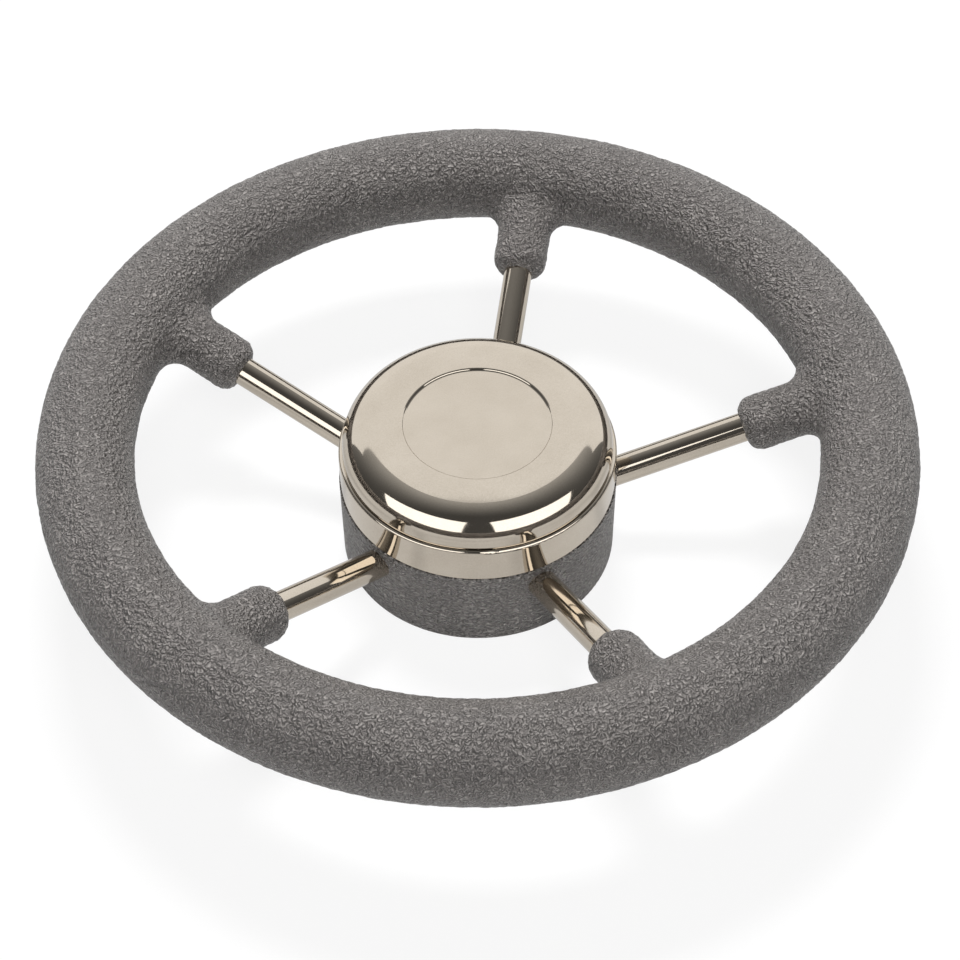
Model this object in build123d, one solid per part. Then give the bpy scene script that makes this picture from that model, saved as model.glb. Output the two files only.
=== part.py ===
"""Boat steering wheel: five steel spokes, a soft moulded grip and a capped hub.

The frame of the wheel has its origin at the centre of the hub's back face.
+Z runs along the steering shaft, towards the person who steers.
All sizes are in millimetres and all angles in degrees.
"""
import os
from math import atan2, cos, hypot, radians, sin, tan

from build123d import *
from build123d.topology import SkipClean

# Rim and its grip
rim_outer_diameter = 350.0
grip_diameter = 39.0
rim_height = 62.0            # grip's middle plane above the hub's back face
core_tube_diameter = 16.0
core_tube_wall = 1.5

# Spokes
spoke_count = 5
first_spoke_angle = 8.4
spoke_diameter = 12.0
spoke_wall = 1.2
spoke_slope = 18.5           # rise of a spoke from the hub to the rim

# Bosses where the grip runs down each spoke
boss_nose_diameter = 23.2
boss_root_diameter = 22.4
boss_nose_radius = 109.0     # distance from the wheel's axis to the end of a boss
boss_nose_round = 6.5
boss_blend = 9.0             # hollow round between a boss and the rim

# Moulded hub base
base_stand = 0.4             # the base's front edge stands this far out past the shell
base_draft = 0.4             # the base's wall leans in by this much towards its back
base_back_round = 1.5
base_pocket_radius = 34.0    # shallow pocket in the back, around the steel hub
base_pocket_depth = 10.0
base_pocket_round = 1.5

# Steel hub with the tapered bore
core_radius = 20.0
core_back_gap = 3.0          # the steel stands this far in from the base's back face
core_edge = 1.0
spigot_radius = 17.0
spigot_stand = 1.0           # the spigot rises this far above the mounting plate
taper_large_diameter = 19.05
taper_ratio = 12.0           # one in twelve on diameter
keyway_width = 4.76
keyway_depth = 2.4
nut_pocket_radius = 14.5
nut_pocket_depth = 8.0

# Mounting plate, welded on the steel hub
plate_thickness = 3.0
plate_edge_gap = 0.6         # between the plate and the wall of the shell
plate_edge = 0.5

# Pressed steel shell around the hub
shell_radius = 55.8
shell_sheet = 1.0
shell_spoke_gap = 3.0        # between the spokes' tops and the shell's lower edge
shell_round = 1.2
shell_hole_radius = 30.0
shell_seam = 0.3             # open seam between the shell and the base's ledge
shell_fit = 0.1

# Pressed steel cap
cap_shoulder = 1.5           # the cap's wall stands this far in from the shell's
cap_top_height = 68.0
cap_edge_height = 54.4       # lower edge of the cap above the back face
cap_sheet = 1.0
cap_round = 12.0
cap_straight_wall = 1.5      # least height of the wall under its round
cap_seat_gap = 0.3           # between the cap's lower edge and the shell
recess_radius = 30.0
recess_wall_run = 0.6        # the sloping wall of the recess runs in by this much
recess_depth = 0.7
recess_round = 0.95

# Nylon ring that the cap is pressed over
seat_ring_clearance = 0.5
seat_ring_height = 5.4
seat_ring_wall = 5.0
seat_ring_chamfer = 2.1
seat_flange_edge = 6.0       # from the screws' circle to the inner edge of the flange
seat_flange_thickness = 2.5
ring_edge = 0.4

# Rubber ring in the groove of the seat ring
o_ring_section = 1.8
o_ring_clearance = 0.15
groove_land = 0.5            # height of the ring's wall under the groove
groove_extra_width = 0.3

# Screws through the seat ring
screw_count = 5
screw_diameter = 4.0
screw_hole_clearance = 0.25
screw_circle_radius = 40.0
screw_length = 6.4
screw_head_radius = 3.6
screw_head_clearance = 0.4   # around the heads, where they come near the ring's wall
screw_head_height = 2.4
screw_head_round = 1.0
cross_width = 1.1
cross_span = 4.4
cross_depth = 1.4

# What follows from the sizes above
spoke_pitch = 360 / spoke_count
ring_radius = (rim_outer_diameter - grip_diameter) / 2
shell_top_height = cap_edge_height - cap_seat_gap
plate_top_height = shell_top_height - shell_sheet
plate_back_height = plate_top_height - plate_thickness
nut_seat_height = plate_top_height + spigot_stand - nut_pocket_depth
shell_inner_radius = shell_radius - shell_sheet
base_front_radius = shell_radius + base_stand
base_back_radius = base_front_radius - base_draft
cap_radius = shell_radius - cap_shoulder
cap_inner_radius = cap_radius - cap_sheet
cap_bend = min(cap_round, cap_top_height - cap_edge_height - cap_straight_wall)
recess_floor_radius = recess_radius - recess_wall_run
recess_wall_length = hypot(recess_wall_run, recess_depth)
recess_wall_slope = atan2(recess_depth, recess_wall_run)
recess_bend = min(recess_round, recess_wall_length / 2 / tan(recess_wall_slope / 2))
groove_height = groove_land + (o_ring_section + groove_extra_width) / 2
seat_ring_radius = cap_inner_radius - seat_ring_clearance
seat_bore_radius = seat_ring_radius - seat_ring_wall
seat_flange_radius = screw_circle_radius - seat_flange_edge
overrun = 1.0                # how far a cutting solid runs past the face that it cuts


def rounded_face(corners):
    """Closed face in the XZ plane; each corner is its x, its z and its round."""
    points = [Vector(x, 0, z) for x, z, _ in corners]
    starts = []
    ends = []
    middles = []
    for index, point in enumerate(points):
        to_last = (points[index - 1] - point).normalized()
        to_next = (points[(index + 1) % len(points)] - point).normalized()
        half_angle = radians(to_last.get_angle(to_next) / 2)
        radius = corners[index][2]
        reach = radius / tan(half_angle)
        bisector = (to_last + to_next).normalized() if radius else Vector(0, 0, 0)
        starts.append(point + to_last * reach)
        ends.append(point + to_next * reach)
        middles.append(point + bisector * (radius / sin(half_angle) - radius))
    edges = []
    for index, corner in enumerate(corners):
        if corner[2]:
            edges.append(ThreePointArc(starts[index], middles[index], ends[index]))
        following = starts[(index + 1) % len(corners)]
        if (following - ends[index]).length > 1e-6:
            edges.append(Line(ends[index], following))
    return Face(Wire(edges))


def turned(*corners):
    """Solid of revolution about the wheel's axis, from its half outline."""
    return revolve(rounded_face(corners), Axis.Z)


def disc_wall(radius, low, high):
    """Plain cylinder about the wheel's axis, between two heights."""
    return Pos(0, 0, (low + high) / 2) * Cylinder(radius, high - low)


def spoke_angle(index):
    return first_spoke_angle + index * spoke_pitch


def spoke_height(radius):
    """Height of a spoke's centre line at a distance from the wheel's axis."""
    return rim_height - (ring_radius - radius) * tan(radians(spoke_slope))


spoke_top_height = spoke_height(base_front_radius) + spoke_diameter / 2 / cos(radians(spoke_slope))
shell_edge_height = spoke_top_height + shell_spoke_gap
base_ledge_height = shell_edge_height - shell_seam


def spoke_place(index, radius):
    """Place on a spoke's centre line, with local Z running along the spoke to the rim."""
    return Rot(0, 0, spoke_angle(index)) * Pos(radius, 0, spoke_height(radius)) * Rot(0, 90 - spoke_slope, 0)


def spoke_rod(index, radius, inner, outer):
    """Round bar on a spoke's centre line, from one distance from the axis to another."""
    length = (outer - inner) / cos(radians(spoke_slope))
    return spoke_place(index, inner) * Pos(0, 0, length / 2) * Cylinder(radius, length)


def rim_torus(section_radius):
    """Ring on the rim's centre circle; its seam lies midway between two spokes."""
    seam_angle = first_spoke_angle + spoke_pitch / 2
    return Rot(0, 0, seam_angle) * Pos(0, 0, rim_height) * Torus(ring_radius, section_radius)


def spoke_sockets(inner, outer):
    """The room that the spokes take up in what is moulded around them."""
    return [spoke_rod(index, spoke_diameter / 2, inner, outer) for index in range(spoke_count)]


def boss(index):
    """Round boss about a spoke, from its rounded nose to the middle of the grip."""
    length = (ring_radius - boss_nose_radius) / cos(radians(spoke_slope))
    outline = rounded_face([
        (0, 0, 0),
        (boss_nose_diameter / 2, 0, boss_nose_round),
        (boss_root_diameter / 2, length, 0),
        (0, length, 0),
    ])
    return spoke_place(index, boss_nose_radius) * revolve(outline, Axis.Z)


def make_rim_grip():
    """Soft grip moulded in one piece with its bosses, around the tube ring and the spoke ends."""
    sockets = spoke_sockets(boss_nose_radius - boss_nose_round, ring_radius)
    with SkipClean():    # merging the faces of a cut torus would spoil it
        rim = rim_torus(grip_diameter / 2) + [boss(index) for index in range(spoke_count)]
        joins = [edge for edge in rim.edges() if edge.geom_type == GeomType.BSPLINE]
        return fillet(joins, boss_blend) - rim_torus(core_tube_diameter / 2) - sockets


def make_rim_core_ring():
    """Round tube bent to a ring and welded shut."""
    with SkipClean():
        return rim_torus(core_tube_diameter / 2) - rim_torus(core_tube_diameter / 2 - core_tube_wall)


def make_spoke(index):
    """Polished tube, coped at one end to the steel hub and at the other to the ring."""
    start = core_radius / 2
    bore_radius = spoke_diameter / 2 - spoke_wall
    rod = spoke_rod(index, spoke_diameter / 2, start, ring_radius)
    bore = spoke_rod(index, bore_radius, start - overrun, ring_radius + overrun)
    hub_side = disc_wall(core_radius, -rim_height, rim_height)
    with SkipClean():
        return rod - bore - hub_side - rim_torus(core_tube_diameter / 2)


def make_hub_core():
    """Turned steel hub with a tapered bore, a keyway and a pocket for the shaft's nut."""
    top = plate_top_height + spigot_stand
    body = turned(
        (0, core_back_gap, 0),
        (core_radius - core_edge, core_back_gap, 0),
        (core_radius, core_back_gap + core_edge, 0),
        (core_radius, plate_back_height, 0),
        (spigot_radius, plate_back_height, 0),
        (spigot_radius, top, 0),
        (0, top, 0),
    )
    large = taper_large_diameter / 2
    half_slope = 0.5 / taper_ratio
    cut_low = core_back_gap - overrun
    cut_high = nut_seat_height + overrun
    bore = turned(
        (0, cut_low, 0),
        (large + overrun * half_slope, cut_low, 0),
        (large - (cut_high - core_back_gap) * half_slope, cut_high, 0),
        (0, cut_high, 0),
    )
    pocket = disc_wall(nut_pocket_radius, nut_seat_height, top + overrun)
    key_length = nut_seat_height - core_back_gap + 2 * overrun
    key_reach = large + keyway_depth
    key_block = Box(key_reach, keyway_width, key_length, align=(Align.MAX, Align.CENTER, Align.MIN))
    key_tilt = Rot(0, -Vector(1, 0, half_slope).get_angle(Vector(1, 0, 0)), 0)
    keyway = Pos(key_reach, 0, core_back_gap - overrun) * key_tilt * key_block
    return body - bore - keyway - pocket


def screw_places(height):
    """Places of the screws, midway between the spokes."""
    angles = [first_spoke_angle + (index + 0.5) * 360 / screw_count for index in range(screw_count)]
    return [Rot(0, 0, angle) * Pos(screw_circle_radius, 0, height) for angle in angles]


def screw_holes(radius, low, high):
    """Cutting rods for the screws, between two heights."""
    rod = Cylinder(radius, high - low, align=(Align.CENTER, Align.CENTER, Align.MIN))
    return [place * rod for place in screw_places(low)]


def make_hub_plate():
    """Steel disc on the hub's shoulder that carries the shell and the cap's seat."""
    radius = shell_inner_radius - plate_edge_gap
    plate = turned(
        (spigot_radius, plate_back_height, 0),
        (radius, plate_back_height, 0),
        (radius, plate_top_height - plate_edge, 0),
        (radius - plate_edge, plate_top_height, 0),
        (spigot_radius, plate_top_height, 0),
    )
    for hole in screw_holes(screw_diameter / 2, plate_back_height - overrun, plate_top_height + overrun):
        plate -= hole
    return plate


def make_hub_base():
    """Moulded base around the steel hub and the spoke roots."""
    rebate_radius = shell_inner_radius - shell_fit
    base = turned(
        (core_radius, base_pocket_depth, 0),
        (base_pocket_radius, base_pocket_depth, base_pocket_round),
        (base_pocket_radius, 0, base_pocket_round),
        (base_back_radius, 0, base_back_round),
        (base_front_radius, base_ledge_height, 0),
        (rebate_radius, base_ledge_height, 0),
        (rebate_radius, plate_back_height, 0),
        (core_radius, plate_back_height, 0),
    )
    for socket in spoke_sockets(core_radius / 2, base_front_radius + spoke_diameter):
        base -= socket
    screw_end = shell_top_height + seat_flange_thickness - screw_length
    for hole in screw_holes(screw_diameter / 2, screw_end, plate_top_height):
        base -= hole
    return base


def make_hub_shell():
    """Pressed and polished steel shell, with a flange that lies on the mounting plate."""
    flange_back = shell_top_height - shell_sheet
    shell = turned(
        (shell_hole_radius, flange_back, 0),
        (shell_inner_radius, flange_back, shell_round - shell_sheet),
        (shell_inner_radius, shell_edge_height, 0),
        (shell_radius, shell_edge_height, 0),
        (shell_radius, shell_top_height, shell_round),
        (shell_hole_radius, shell_top_height, 0),
    )
    clearance_radius = screw_diameter / 2 + screw_hole_clearance
    for hole in screw_holes(clearance_radius, flange_back - overrun, shell_top_height + overrun):
        shell -= hole
    return shell


def make_cap_seat_ring():
    """Nylon ring with a groove for the rubber ring and a flange for the screws."""
    low = shell_top_height
    high = low + seat_ring_height
    groove_low = low + groove_land
    groove_high = groove_low + o_ring_section + groove_extra_width
    groove_floor = cap_inner_radius - o_ring_clearance - o_ring_section
    ring = turned(
        (seat_flange_radius, low, 0),
        (seat_ring_radius, low, ring_edge),
        (seat_ring_radius, groove_low, 0),
        (groove_floor, groove_low, 0),
        (groove_floor, groove_high, 0),
        (seat_ring_radius, groove_high, 0),
        (seat_ring_radius, high - seat_ring_chamfer, 0),
        (seat_ring_radius - seat_ring_chamfer, high, 0),
        (seat_bore_radius, high, ring_edge),
        (seat_bore_radius, low + seat_flange_thickness, 0),
        (seat_flange_radius, low + seat_flange_thickness, ring_edge),
    )
    clearance_radius = screw_diameter / 2 + screw_hole_clearance
    head_room = screw_head_radius + screw_head_clearance
    for hole in screw_holes(clearance_radius, low - overrun, low + seat_flange_thickness + overrun):
        ring -= hole
    for pocket in screw_holes(head_room, low + seat_flange_thickness, high + overrun):
        ring -= pocket
    return ring


def make_cap_o_ring():
    """Rubber ring that holds the cap by friction, drawn unsquashed."""
    centre_radius = cap_inner_radius - o_ring_clearance - o_ring_section / 2
    return Pos(0, 0, shell_top_height + groove_height) * Torus(centre_radius, o_ring_section / 2)


def make_screw():
    """Pan head screw with a cross recess, its head's seat at the origin."""
    shank_radius = screw_diameter / 2
    screw = turned(
        (0, -screw_length, 0),
        (shank_radius, -screw_length, shank_radius / 4),
        (shank_radius, 0, 0),
        (screw_head_radius, 0, 0),
        (screw_head_radius, screw_head_height, screw_head_round),
        (0, screw_head_height, 0),
    )
    slot = Box(cross_span, cross_width, cross_depth, align=(Align.CENTER, Align.CENTER, Align.MAX))
    for angle in (0, 90):
        screw -= Pos(0, 0, screw_head_height) * Rot(0, 0, angle) * slot
    return screw


def make_seat_screws():
    """The screws that clamp the seat ring and the shell to the plate."""
    screw = make_screw()
    seat_height = shell_top_height + seat_flange_thickness
    return Compound([place * screw for place in screw_places(seat_height)])


def make_hub_cap():
    """Pressed and polished cap with a round edge and a shallow round recess in its face."""
    floor = cap_top_height - recess_depth
    return turned(
        (0, floor, 0),
        (recess_floor_radius, floor, recess_bend),
        (recess_radius, cap_top_height, recess_bend),
        (cap_radius, cap_top_height, cap_bend),
        (cap_radius, cap_edge_height, 0),
        (cap_inner_radius, cap_edge_height, 0),
        (cap_inner_radius, cap_top_height - cap_sheet, cap_bend - cap_sheet),
        (recess_radius, cap_top_height - cap_sheet, recess_bend),
        (recess_floor_radius, floor - cap_sheet, recess_bend),
        (0, floor - cap_sheet, 0),
    )


nodes = {
    "rim_grip": make_rim_grip(),
    "rim_core_ring": make_rim_core_ring(),
    "hub_core": make_hub_core(),
    "hub_plate": make_hub_plate(),
    "hub_base": make_hub_base(),
    "hub_shell": make_hub_shell(),
    "cap_seat_ring": make_cap_seat_ring(),
    "cap_o_ring": make_cap_o_ring(),
    "seat_screws": make_seat_screws(),
    "hub_cap": make_hub_cap(),
}
for spoke_index in range(spoke_count):
    nodes[f"spoke_{spoke_index + 1}"] = make_spoke(spoke_index)

os.makedirs("parts", exist_ok=True)
for node_name, shape in nodes.items():
    export_step(shape, f"parts/{node_name}.step")
    print(f"{node_name:16s} {len(shape.solids())} solids, {shape.volume / 1000:8.2f} cm3")
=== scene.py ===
# %% [markdown]
# # A boat steering wheel
#
# The real wheel is a steel frame. A thick grip of grey foam, with a skin that copies a grained leather, is
# moulded around its rim, and a polished shell and cap close its hub.
# The imported model already has every piece at its real size, so this lesson gives each of them its finish,
# rebuilds the two that need a finer surface, and sets up the table, the lamps and the camera.
# The first cell loads the pieces and lists them before anything is changed.

# %% Load the frame
from math import cos, pi, radians, sin, tan

import bmesh
import bpy
from mathutils import Matrix, Vector, noise


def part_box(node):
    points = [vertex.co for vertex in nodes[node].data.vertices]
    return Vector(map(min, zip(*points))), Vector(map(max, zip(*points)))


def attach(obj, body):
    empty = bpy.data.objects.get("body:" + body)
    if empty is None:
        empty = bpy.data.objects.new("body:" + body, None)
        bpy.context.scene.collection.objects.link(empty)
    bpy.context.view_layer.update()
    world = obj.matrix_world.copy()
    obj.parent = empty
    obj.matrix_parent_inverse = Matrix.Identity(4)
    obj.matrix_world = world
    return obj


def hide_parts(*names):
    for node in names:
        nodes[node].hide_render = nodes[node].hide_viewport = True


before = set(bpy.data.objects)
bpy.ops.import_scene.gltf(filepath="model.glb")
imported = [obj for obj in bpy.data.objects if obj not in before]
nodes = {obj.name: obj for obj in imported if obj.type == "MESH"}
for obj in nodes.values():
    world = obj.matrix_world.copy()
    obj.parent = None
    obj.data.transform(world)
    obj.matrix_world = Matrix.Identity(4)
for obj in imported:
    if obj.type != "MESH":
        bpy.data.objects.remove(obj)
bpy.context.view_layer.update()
print("pieces in the frame:", ", ".join(sorted(nodes)))

# %% [markdown]
# Everything in Blender is in metres. The wheel's sizes are easier to read in millimetres, so one short helper
# turns them into metres. The rim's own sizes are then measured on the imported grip, and the five spokes are
# known by their angle around the hub and their rise towards the rim.

# %% Units and the wheel's main lines
def mm(value):
    return value / 1000


grip_radius = mm(19.5)
rim_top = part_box("rim_grip")[1]
rim_height = rim_top.z - grip_radius
ring_radius = rim_top.x - grip_radius
spoke_count = 5
first_spoke_degrees = 8.4
spoke_slope = radians(18.5)
print(f"rim: centre circle {ring_radius * 1000:.1f} mm, {rim_height * 1000:.1f} mm above the table")


def spoke_line(index, radius):
    """Point on a spoke's centre line, at a distance from the wheel's axis."""
    turn = radians(first_spoke_degrees + index * 360 / spoke_count)
    outwards = Vector((cos(turn), sin(turn), 0))
    height = rim_height - (ring_radius - radius) * tan(spoke_slope)
    return outwards * radius + Vector((0, 0, height))


# %% [markdown]
# ## Materials written as arithmetic
#
# A material in Blender is a graph of nodes. Wiring it by hand takes many lines, so a small class wraps one
# socket and lets it be used in plain arithmetic: each operator adds one Math node.

# %% Sockets that do arithmetic
class Link:
    def __init__(self, finish, socket):
        self.finish = finish
        self.socket = socket

    def math(self, operation, *values):
        return self.finish.math(operation, *values)

    def __add__(self, other):
        return self.math("ADD", self, other)

    def __radd__(self, other):
        return self.math("ADD", other, self)

    def __sub__(self, other):
        return self.math("SUBTRACT", self, other)

    def __rsub__(self, other):
        return self.math("SUBTRACT", other, self)

    def __mul__(self, other):
        return self.math("MULTIPLY", self, other)

    def __rmul__(self, other):
        return self.math("MULTIPLY", other, self)

    def __truediv__(self, other):
        return self.math("DIVIDE", self, other)

    def __rtruediv__(self, other):
        return self.math("DIVIDE", other, self)

    def __pow__(self, other):
        return self.math("POWER", self, other)

    def __abs__(self):
        return self.math("ABSOLUTE", self)

    def clamp(self):
        """The value, kept between 0 and 1."""
        return self.math("MINIMUM", self.math("MAXIMUM", self, 0), 1)


# %% [markdown]
# Any other node comes from `Finish.node`. It sets the node's own settings first, because some of them change
# which sockets the node has, and then fills or links the sockets.
# `wear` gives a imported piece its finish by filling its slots, and leaves the mesh of the piece alone.

# %% A finish and its nodes
class Finish:
    """The node tree of one material, or of the world."""

    def __init__(self, tree, output="ShaderNodeOutputMaterial"):
        self.tree = tree
        self.tree.nodes.clear()
        self.output = self.tree.nodes.new(output)

    def node(self, kind, settings=None, sockets=None, out=0):
        made = self.tree.nodes.new(kind)
        for name, value in (settings or {}).items():
            setattr(made, name, value)
        for name, value in (sockets or {}).items():
            if isinstance(value, Link):
                self.tree.links.new(value.socket, made.inputs[name])
            else:
                made.inputs[name].default_value = value
        return Link(self, made.outputs[out])

    def math(self, operation, *values):
        return self.node("ShaderNodeMath", {"operation": operation}, dict(enumerate(values)))

    def mix(self, share, first, second):
        """A colour between two others."""
        sockets = {"Factor": share, 6: (*first, 1), 7: (*second, 1)}
        return self.node("ShaderNodeMix", {"data_type": "RGBA"}, sockets, out=2)

    def noise(self, place, scale, detail):
        """Soft random values between 0 and 1, about as many bumps in a metre as the scale says."""
        sockets = {"Vector": place, "Scale": scale, "Detail": detail}
        return self.node("ShaderNodeTexNoise", {}, sockets, out="Fac")

    def bump(self, height, distance):
        sockets = {"Strength": 1.0, "Distance": distance, "Height": height}
        return self.node("ShaderNodeBump", {}, sockets)

    def surface(self, shader):
        self.tree.links.new(shader.socket, self.output.inputs["Surface"])


def new_finish(name):
    material = bpy.data.materials.new(name)
    material.use_nodes = True
    return material, Finish(material.node_tree)


def wear(node_name, material):
    """Gives a piece of the frame its finish."""
    slots = nodes[node_name].data.materials
    for index in range(len(slots)):
        slots[index] = material


# %% [markdown]
# ## The grip's skin
#
# Self-skinned foam is poured into a mould whose wall is etched like leather. The skin copies it: short,
# winding grooves, and between them soft crests that shine a little from handling.
# Where a smooth noise crosses its middle value it draws just such winding lines. The distance from that value
# gives the depth of the groove, and the grooves are also painted darker, as painted shade. A second noise
# makes the crests uneven, and their higher parts are painted lighter, as painted light.
# Both are measured in the object's own space, so nothing stretches around the rim.
# The moulded base of the hub has the same skin, coarser and drawn out sideways.

# %% Moulded skin
def moulded_skin(name, stretch, relief, crest_grey_with_painted_light, groove_grey_with_painted_shade):
    material, skin = new_finish(name)
    place = skin.node("ShaderNodeTexCoord", out="Object")
    drawn = skin.node("ShaderNodeVectorMath", {"operation": "MULTIPLY"}, {0: place, 1: stretch})
    winding = skin.noise(drawn, scale=780, detail=0.3)
    crest = (abs(winding - 0.5) * 4.3).clamp()
    uneven = skin.noise(drawn, scale=620, detail=0.5)
    patches = skin.noise(place, scale=40, detail=3)
    height = crest * 0.4 + uneven * 1.2
    # The colour is painted shade in the grooves and painted light on the higher parts, with broad random
    # patches of tone.
    tone_with_painted_light_and_shade = crest * 0.75 + (uneven - 0.5) * 0.6 + (patches - 0.5) * 0.25 + 0.18
    shader = skin.node("ShaderNodeBsdfPrincipled", {}, {
        "Base Color": skin.mix(tone_with_painted_light_and_shade.clamp(), groove_grey_with_painted_shade, crest_grey_with_painted_light),
        "Roughness": 0.40 - crest * 0.12,
        "IOR": 1.5,
        "Normal": skin.bump(height, relief),
    })
    skin.surface(shader)
    return material


grip_skin = moulded_skin("moulded_grip", stretch=(1, 1, 1), relief=mm(3.2),
                         crest_grey_with_painted_light=(0.358, 0.333, 0.318), groove_grey_with_painted_shade=(0.138, 0.128, 0.123))
base_skin = moulded_skin("moulded_base", stretch=(0.7, 0.7, 1.3), relief=mm(4.0),
                         crest_grey_with_painted_light=(0.425, 0.397, 0.378), groove_grey_with_painted_shade=(0.120, 0.112, 0.106))
wear("hub_base", base_skin)
print("moulded skins made:", grip_skin.name, base_skin.name)

# %% [markdown]
# ## The grip's surface
#
# A bump only changes how light falls, and the outline of the rim would stay as smooth as turned wood.
# So the grip gets a real surface too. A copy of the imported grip, with its channel and sockets plugged, is
# remeshed with small even squares. Each point then sinks a little where a groove of the leather runs.
# At the end the channel of the tube ring and the sockets of the spokes are cut again, at their exact sizes.
# All of this takes a few tools: a ring and a rod as plugs and cutters, and a way to apply modifiers.

# %% Tools for building meshes
def new_piece(name, shape):
    """Turns a bmesh into an object in the scene."""
    mesh = bpy.data.meshes.new(name)
    shape.to_mesh(mesh)
    shape.free()
    made = bpy.data.objects.new(name, mesh)
    bpy.context.scene.collection.objects.link(made)
    return made


def add_ring(shape, section_radius):
    """Adds a torus on the rim's centre circle."""
    around = 180
    across = 32
    rings = []
    for step in range(around):
        turn = 2 * pi * step / around
        ring = []
        for part in range(across):
            lean = 2 * pi * part / across
            reach = ring_radius + section_radius * cos(lean)
            corner = (reach * cos(turn), reach * sin(turn), rim_height + section_radius * sin(lean))
            ring.append(shape.verts.new(corner))
        rings.append(ring)
    for step in range(around):
        here = rings[step]
        there = rings[(step + 1) % around]
        for part in range(across):
            after = (part + 1) % across
            shape.faces.new((here[part], there[part], there[after], here[after]))


def add_rod(shape, start, end, radius):
    """Adds a closed round bar between two points."""
    way = end - start
    along = way.to_track_quat("Z", "Y").to_matrix().to_4x4()
    bmesh.ops.create_cone(shape, cap_ends=True, segments=64, radius1=radius, radius2=radius,
                          depth=way.length, matrix=Matrix.Translation((start + end) / 2) @ along)


def with_modifiers(piece):
    """The piece's mesh after its modifiers, which are then taken off."""
    bpy.context.view_layer.update()
    solved = piece.evaluated_get(bpy.context.evaluated_depsgraph_get())
    mesh = bpy.data.meshes.new_from_object(solved)
    piece.modifiers.clear()
    return mesh


def sharpen(mesh, angle):
    """Rounds the shading everywhere but over edges that turn by more than the angle, in degrees."""
    shape = bmesh.new()
    shape.from_mesh(mesh)
    for face in shape.faces:
        face.smooth = True
    for edge in shape.edges:
        edge.smooth = edge.calc_face_angle(0) < radians(angle)
    shape.to_mesh(mesh)
    shape.free()


# %% [markdown]
# Plugs that are a little thicker than the hollows fill them, up to just inside the mouths of the sockets.
# A voxel remesh then turns the copy into even squares a millimetre and a half wide. That is small enough for
# the larger wrinkles of the leather, and keeps the piece under two hundred thousand triangles.

# %% Plugged copy of the grip
channel_radius = mm(8.0)
socket_radius = mm(6.0)
plug_excess = mm(0.4)
plug_start = mm(109.6)
square_width = mm(1.45)


def plugged_grip():
    shape = bmesh.new()
    shape.from_mesh(nodes["rim_grip"].data)
    add_ring(shape, channel_radius + plug_excess)
    for index in range(spoke_count):
        start = spoke_line(index, plug_start)
        add_rod(shape, start, spoke_line(index, ring_radius), socket_radius + plug_excess)
    piece = new_piece("grained_grip", shape)
    remesh = piece.modifiers.new("even squares", "REMESH")
    remesh.mode = "VOXEL"
    remesh.voxel_size = square_width
    piece.data = with_modifiers(piece)
    return piece


grip = plugged_grip()
print("points in the remeshed grip:", len(grip.data.vertices))

# %% [markdown]
# The wrinkles of leather are cells with a groove between them. The noise module of Blender's maths library
# gives the distances from a point to the nearest cell centres, and where the first two are alike there is a
# groove. Bending the points first keeps the cells from looking drawn with a ruler.
# All places and directions are read before any point moves, because Blender works out the directions again
# after each change, and that would take minutes.

# %% Grooves of the leather
cell_width = mm(3.4)
cell_bend = mm(1.4)
bends_per_metre = 160
groove_steepness = 2.4
deepest_groove = mm(0.26)
unevenness = mm(0.16)
swellings_per_metre = 70


def groove_depth(point):
    """How far the skin sinks at a point: most in the grooves between the cells."""
    bent = point + noise.noise_vector(point * bends_per_metre) * cell_bend
    near = noise.voronoi(bent / cell_width)[0]
    groove = 1 - min(1.0, (near[1] - near[0]) * groove_steepness)
    return deepest_groove * groove + unevenness * noise.noise(point * swellings_per_metre)


skin_points = [(vertex.co.copy(), vertex.normal.copy()) for vertex in grip.data.vertices]
sunk = [point - normal * groove_depth(point) for point, normal in skin_points]
grip.data.vertices.foreach_set("co", [part for point in sunk for part in point])

# %% [markdown]
# The hollows are opened again with the exact radius of the steel that lies in them: one ring for the tube in
# the rim, and five rods for the ends of the spokes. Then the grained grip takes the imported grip's place.

# %% Hollows of the grip
socket_start = mm(102.5)


def hollow_cutters():
    """A ring and five rods, as objects."""
    shape = bmesh.new()
    add_ring(shape, channel_radius)
    cutters = [new_piece("channel", shape)]
    for index in range(spoke_count):
        shape = bmesh.new()
        start = spoke_line(index, socket_start)
        add_rod(shape, start, spoke_line(index, ring_radius), socket_radius)
        cutters.append(new_piece("socket", shape))
    return cutters


cutters = hollow_cutters()
for cutter in cutters:
    cut = grip.modifiers.new("cut", "BOOLEAN")
    cut.operation = "DIFFERENCE"
    cut.solver = "MANIFOLD"
    cut.object = cutter
grip.data = with_modifiers(grip)
for cutter in cutters:
    bpy.data.objects.remove(cutter)
sharpen(grip.data, angle=50)
grip.data.materials.clear()
grip.data.materials.append(grip_skin)
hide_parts("rim_grip")
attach(grip, "wheel")
grip.data.calc_loop_triangles()
print("grained grip:", len(grip.data.loop_triangles), "triangles")

# %% [markdown]
# ## Polished steel
#
# The cap, the shell and the spokes are buffed to a mirror on a cloth wheel. The steel has a warm tint, and
# the buffing leaves it a little uneven: some places are hazier, and fine specks from the cloth scatter the
# light. So the tint and the roughness wander between two near values, and a very weak bump keeps long
# reflections from being as straight as on glass. The spokes are drawn tube and a little wavier.

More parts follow.
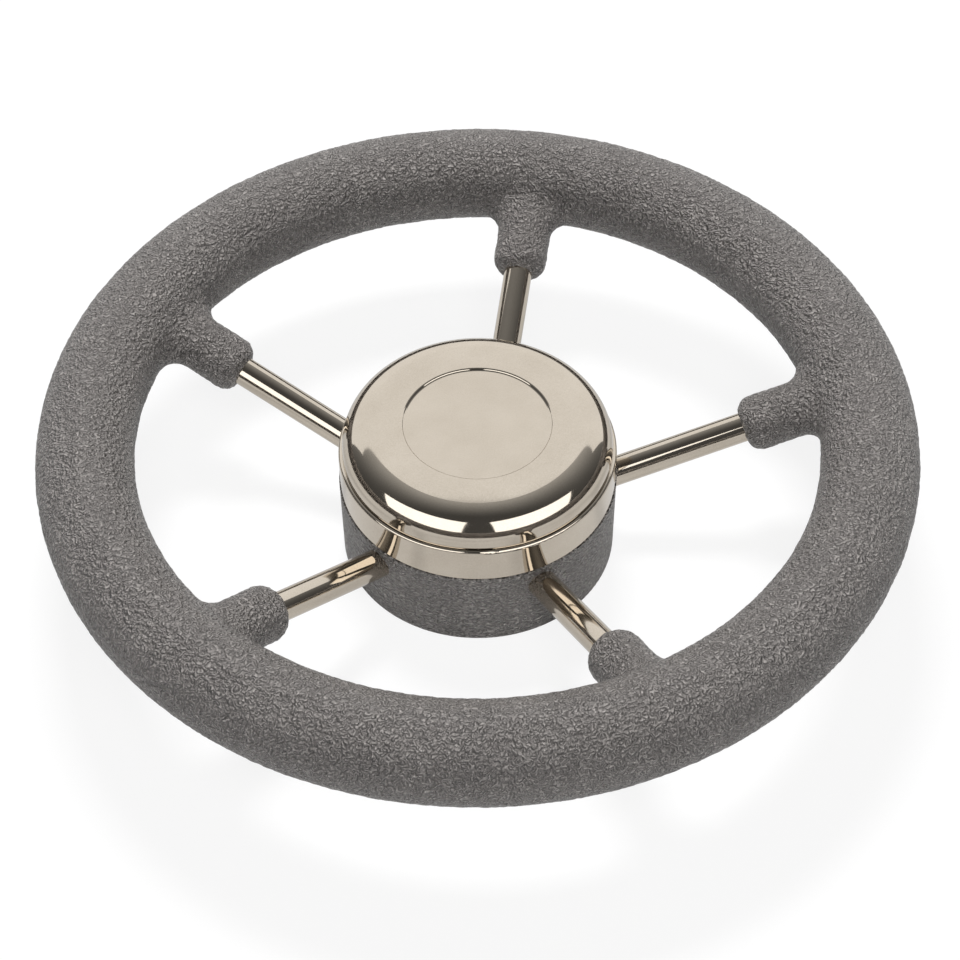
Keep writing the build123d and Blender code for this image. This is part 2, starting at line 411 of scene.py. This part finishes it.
# %% Polished steel
def polished_steel(name, waviness):
    material, steel = new_finish(name)
    place = steel.node("ShaderNodeTexCoord", out="Object")
    haze = steel.noise(place, scale=70, detail=5)
    specks = steel.noise(place, scale=2200, detail=2)
    waves = steel.noise(place, scale=45, detail=1)
    cloudy = (haze - 0.5) * 1.2 + (specks - 0.5) * 1.6 + 0.5
    shader = steel.node("ShaderNodeBsdfPrincipled", {}, {
        "Base Color": steel.mix(cloudy.clamp(), (0.700, 0.630, 0.536), (0.608, 0.540, 0.450)),
        "Metallic": 1.0,
        "Roughness": 0.02 + haze * 0.07 + specks * 0.03,
        "Normal": steel.bump(waves * waviness, mm(1)),
    })
    steel.surface(shader)
    return material


cap_steel = polished_steel("polished_cap", waviness=0.015)
spoke_steel = polished_steel("polished_spokes", waviness=0.06)
wear("hub_cap", cap_steel)
wear("hub_shell", cap_steel)
for index in range(spoke_count):
    wear(f"spoke_{index + 1}", spoke_steel)
print("polished steel made:", cap_steel.name, spoke_steel.name)

# %% [markdown]
# ## The cap, turned again
#
# A mirror shows every facet of a mesh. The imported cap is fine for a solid, but its broad round edge bends
# the reflections of the lamps in steps. The cap is a plain body of revolution, pressed from one sheet, so it
# is quickly turned again with many more steps. First come the two tools for that: one rounds the corners of
# half an outline, and the other spins the outline about the wheel's axis.

# %% Tools for turning
def rounded_outline(corners, steps):
    """Points along a half outline whose corners, given as (radius, height, round), are rounded."""
    points = []
    for index, (radius, height, bend) in enumerate(corners):
        here = Vector((radius, height))
        if not bend:
            points.append(here)
            continue
        before = (Vector(corners[index - 1][:2]) - here).normalized()
        after = (Vector(corners[index + 1][:2]) - here).normalized()
        half = before.angle(after) / 2
        centre = here + (before + after).normalized() * (bend / sin(half))
        start = here + before * (bend / tan(half)) - centre
        end = here + after * (bend / tan(half)) - centre
        turn = start.angle_signed(end)
        for step in range(steps + 1):
            swing = Matrix.Rotation(-turn * step / steps, 2)
            points.append(centre + swing @ start)
    return points


def spin(name, outline, around):
    """Turns a half outline that starts and ends on the axis into a closed body."""
    shape = bmesh.new()
    first = shape.verts.new((0, 0, outline[0].y))
    last = shape.verts.new((0, 0, outline[-1].y))
    rings = []
    for point in outline[1:-1]:
        angles = [2 * pi * step / around for step in range(around)]
        rings.append([shape.verts.new((point.x * cos(a), point.x * sin(a), point.y)) for a in angles])
    for step in range(around):
        after = (step + 1) % around
        shape.faces.new((first, rings[0][step], rings[0][after]))
        shape.faces.new((last, rings[-1][after], rings[-1][step]))
        for low, high in zip(rings, rings[1:]):
            shape.faces.new((low[step], high[step], high[after], low[after]))
    bmesh.ops.recalc_face_normals(shape, faces=shape.faces)
    return new_piece(name, shape)


# %% [markdown]
# The outline runs over the cap from the middle of its shallow recess to its lower edge, and back along the
# inside of the sheet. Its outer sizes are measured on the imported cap. Each corner is written as its distance
# from the axis, its height and its round.

# %% Turned cap
cap_low, cap_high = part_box("hub_cap")
cap_radius = cap_high.x
cap_top = cap_high.z
sheet = mm(1.0)
edge_round = mm(12.0)
recess_radius = mm(30.0)
recess_floor_radius = mm(29.4)
recess_depth = mm(0.7)
recess_round = mm(0.95)
cap_outline = [
    (0, cap_top - recess_depth, 0),
    (recess_floor_radius, cap_top - recess_depth, recess_round),
    (recess_radius, cap_top, recess_round),
    (cap_radius, cap_top, edge_round),
    (cap_radius, cap_low.z, 0),
    (cap_radius - sheet, cap_low.z, 0),
    (cap_radius - sheet, cap_top - sheet, edge_round - sheet),
    (recess_radius, cap_top - sheet, recess_round),
    (recess_floor_radius, cap_top - recess_depth - sheet, recess_round),
    (0, cap_top - recess_depth - sheet, 0),
]
cap = spin("turned_cap", rounded_outline(cap_outline, steps=20), around=288)
sharpen(cap.data, angle=40)
cap.data.materials.append(cap_steel)
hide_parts("hub_cap")
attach(cap, "cap")
print(f"cap {cap_radius * 2000:.1f} mm across, {len(cap.data.polygons)} faces")

# %% [markdown]
# ## The hidden pieces
#
# With the cap off, or from below, the inside of the hub shows. Its steel parts came off a lathe, and the tool
# left fine rings around the axis: a Wave texture in rings makes them. The tube ring is plain drawn tube,
# the screws are plain stainless, the seat of the cap is moulded nylon and the ring in its groove is rubber.

# %% Turned steel, nylon and rubber
def turned_steel(name, tool_marks, roughness):
    material, steel = new_finish(name)
    place = steel.node("ShaderNodeTexCoord", out="Object")
    rings = steel.node("ShaderNodeTexWave", {"wave_type": "RINGS", "rings_direction": "Z"},
                       {"Vector": place, "Scale": 260.0, "Distortion": 0.6, "Detail": 2.0}, out="Fac")
    stain = steel.noise(place, scale=90, detail=4)
    shader = steel.node("ShaderNodeBsdfPrincipled", {}, {
        "Base Color": steel.mix(stain, (0.50, 0.48, 0.45), (0.62, 0.61, 0.60)),
        "Metallic": 1.0,
        "Roughness": roughness + stain * 0.14,
        "Normal": steel.bump(rings, tool_marks),
    })
    steel.surface(shader)
    return material


def moulded_black(name, colour, roughness, grain):
    material, skin = new_finish(name)
    place = skin.node("ShaderNodeTexCoord", out="Object")
    speckle = skin.noise(place, scale=1400, detail=3)
    cloud = skin.noise(place, scale=60, detail=3)
    paler = [part * 1.6 for part in colour]
    shader = skin.node("ShaderNodeBsdfPrincipled", {}, {
        "Base Color": skin.mix(cloud, colour, paler),
        "Roughness": roughness + cloud * 0.12,
        "IOR": 1.5,
        "Normal": skin.bump(speckle, grain),
    })
    skin.surface(shader)
    return material


wear("hub_core", turned_steel("turned_hub", mm(0.02), 0.18))
wear("hub_plate", turned_steel("turned_plate", mm(0.03), 0.24))
wear("seat_screws", turned_steel("screw_steel", mm(0.005), 0.16))
wear("rim_core_ring", turned_steel("drawn_tube", mm(0.004), 0.30))
wear("cap_seat_ring", moulded_black("black_nylon", (0.028, 0.028, 0.030), 0.40, mm(0.03)))
wear("cap_o_ring", moulded_black("black_rubber", (0.016, 0.016, 0.016), 0.46, mm(0.01)))
print("finishes of the hidden pieces made")

# %% [markdown]
# ## The table and the sheet behind it
#
# A product photo like this is taken on a white table with a white sheet standing behind it. The steel shows
# both: the flat of the cap reflects the sheet, and the skirt of the hub reflects the table.
# Paper in a soft light is never quite white in a picture, so what the camera sees is mostly an even glow of
# strength 1, with a small share of real paper left in it that keeps the wheel's shadow.
# In the photograph the skirt is darker than white paper would make it, so mirrors see the table as an even,
# duller grey. That duller grey is painted shade: it stands for the wheel's shade on the table under it.
# The sheet is only there to be mirrored: the camera looks past it, and it throws no shade.
# Seen from the middle of the table, the sheet reaches 57 degrees to each side and 53 degrees up.

# %% Table and sheet
def paper(name, glow_seen, glow_mirrored, mirrored_level):
    material, finish = new_finish(name)
    diffuse = finish.node("ShaderNodeBsdfDiffuse", {}, {"Color": (0.9, 0.9, 0.9, 1)})
    camera = finish.node("ShaderNodeLightPath", out="Is Camera Ray")
    through = finish.node("ShaderNodeLightPath", out="Is Transmission Ray")
    glossy = finish.node("ShaderNodeLightPath", out="Is Glossy Ray")
    colour = finish.mix(glossy, (1, 1, 1), (mirrored_level,) * 3)
    glow = finish.node("ShaderNodeEmission", {}, {"Color": colour, "Strength": 1.0})
    share = (camera + through).clamp() * glow_seen + glossy * glow_mirrored
    finish.surface(finish.node("ShaderNodeMixShader", {}, {0: share, 1: diffuse, 2: glow}))
    return material


def flat_sheet(name, corners, material):
    mesh = bpy.data.meshes.new(name)
    mesh.from_pydata(corners, [], [tuple(range(len(corners)))])
    mesh.materials.append(material)
    made = bpy.data.objects.new(name, mesh)
    bpy.context.scene.collection.objects.link(made)
    return made


table_reach = 6.0
table_corners = [(x * table_reach, y * table_reach, 0) for x, y in ((-1, -1), (1, -1), (1, 1), (-1, 1))]
# The table's mirrored level of 0.62 is painted shade, for the wheel's shade on the table.
table_paper = paper("table_paper", glow_seen=0.86, glow_mirrored=0.85, mirrored_level=0.62)
flat_sheet("table", table_corners, table_paper)

sheet_distance = 1.3
sheet_side = sheet_distance * tan(radians(57))
sheet_top = sheet_distance * tan(radians(53))
sheet_corners = [(-sheet_side, sheet_distance, 0), (sheet_side, sheet_distance, 0),
                 (sheet_side, sheet_distance, sheet_top), (-sheet_side, sheet_distance, sheet_top)]
sheet_paper = paper("sheet_paper", glow_seen=1.0, glow_mirrored=0.95, mirrored_level=1.0)
white_sheet = flat_sheet("white_sheet", sheet_corners, sheet_paper)
white_sheet.visible_camera = False
white_sheet.visible_diffuse = False
white_sheet.visible_shadow = False
print(f"sheet {sheet_top:.2f} m high, {sheet_distance} m behind the wheel")

# %% [markdown]
# ## The room and the lamps
#
# Above the sheet and around the table the room is dark, and it is darker towards the camera. That dark room
# is what makes polished steel look like steel: the round edge of the cap turns from white to nearly black.
# The world's colour follows the direction, brighter at the back than in front and darker at the sides.
# What the camera sees of it is plain white, so the picture has a white ground from every side.

# %% Room
world = bpy.data.worlds.new("studio")
bpy.context.scene.world = world
world.use_nodes = True
air = Finish(world.node_tree, "ShaderNodeOutputWorld")
direction = air.node("ShaderNodeTexCoord", out="Generated")
side = air.node("ShaderNodeSeparateXYZ", {}, {"Vector": direction}, out="X")
backwards = air.node("ShaderNodeSeparateXYZ", {}, {"Vector": direction}, out="Y")
darkest = 0.07
brightening = 0.36
dark_until = -0.35
bright_from = 0.60
behind = ((backwards - dark_until) / (bright_from - dark_until)).clamp()
room_light = darkest + behind ** 1.5 * brightening * (1 - side * side)
camera_ray = air.node("ShaderNodeLightPath", out="Is Camera Ray")
through_ray = air.node("ShaderNodeLightPath", out="Is Transmission Ray")
seen = (camera_ray + through_ray).clamp()
strength = room_light * (1 - seen) + seen
air.surface(air.node("ShaderNodeBackground", {}, {"Color": (1, 1, 1, 1), "Strength": strength}))

# %% [markdown]
# Two large softboxes stand in front, left and right of the camera, and leave a dark gap between them.
# Polished steel shows them as the two white curves on the cap's round edge, and that is all they are for.
# The light that falls on the wheel comes from two smaller lamps that no mirror shows. The lamp at the back
# stands high and grazes the grain, so each crest has a lit side and a dark side. The one in front fills in,
# so that the near side of the rim keeps its grey.

# %% Softboxes and lamps
lamp_distance = 1.6


def softbox(name, turn, rise, roll, width, height, radiance):
    """Adds a lamp that looks at the hub. Its turn is counted in degrees from the back of the table."""
    turn = radians(turn)
    rise = radians(rise)
    lamp = bpy.data.lights.new(name, "AREA")
    lamp.shape = "RECTANGLE"
    lamp.size = width
    lamp.size_y = height
    lamp.energy = radiance * width * height * pi
    made = bpy.data.objects.new(name, lamp)
    towards = Vector((sin(turn) * cos(rise), cos(turn) * cos(rise), sin(rise)))
    hub = Vector((0, 0, rim_height))
    face = (-towards).to_track_quat("-Z", "Y").to_matrix() @ Matrix.Rotation(radians(roll), 3, "Z")
    made.matrix_world = Matrix.Translation(hub + towards * lamp_distance) @ face.to_4x4()
    bpy.context.scene.collection.objects.link(made)
    return made


for name, hand in (("softbox_left", -1), ("softbox_right", 1)):
    mirrored = softbox(name, hand * 136, 27, hand * -14, width=1.75, height=1.25, radiance=1.8)
    mirrored.visible_diffuse = False
back_lamp = softbox("back_lamp", -8, 62, 0, width=0.5, height=0.3, radiance=56.0)
front_fill = softbox("front_fill", 172, 52, 0, width=0.8, height=0.6, radiance=9.0)
for lighting in (back_lamp, front_fill):
    lighting.visible_glossy = False
print("lamps:", ", ".join(lamp.name for lamp in bpy.data.lights))

# %% [markdown]
# ## The camera
#
# The place of the camera was worked out from the outlines of the rim and the hub in the photograph: about a
# metre away, 47 degrees above the table, with a long lens. The numbers below are that result, in pixels of a
# picture 960 pixels wide. They are turned into Blender's lens and into a rotation that puts the rim's centre
# where it was.

# %% Camera
picture_side = 960
focal_pixels = 2482.05
rim_centre_pixel = (477.45, 432.78)
camera_distance = 0.98826
camera_rise = radians(47.222)
camera_roll = radians(-0.597)

back = Vector((0, -cos(camera_rise), sin(camera_rise)))
right = Vector((1, 0, 0))
look = Matrix((right, back.cross(right), back)).transposed() @ Matrix.Rotation(camera_roll, 3, "Z")
across = (rim_centre_pixel[0] - picture_side / 2) / focal_pixels
above = (picture_side / 2 - rim_centre_pixel[1]) / focal_pixels
aim = Vector((across, above, -1)).rotation_difference(Vector((0, 0, -1))).to_matrix()
lens = bpy.data.cameras.new("camera")
lens.sensor_width = 36
lens.lens = lens.sensor_width * focal_pixels / picture_side
camera = bpy.data.objects.new("camera", lens)
stand = Vector((0, 0, rim_height)) + back * camera_distance
camera.matrix_world = Matrix.Translation(stand) @ (look @ aim).to_4x4()
bpy.context.scene.collection.objects.link(camera)
bpy.context.scene.camera = camera
bpy.context.scene.view_settings.view_transform = "Standard"
print(f"lens {lens.lens:.1f} mm, camera at", [round(part, 3) for part in stand])
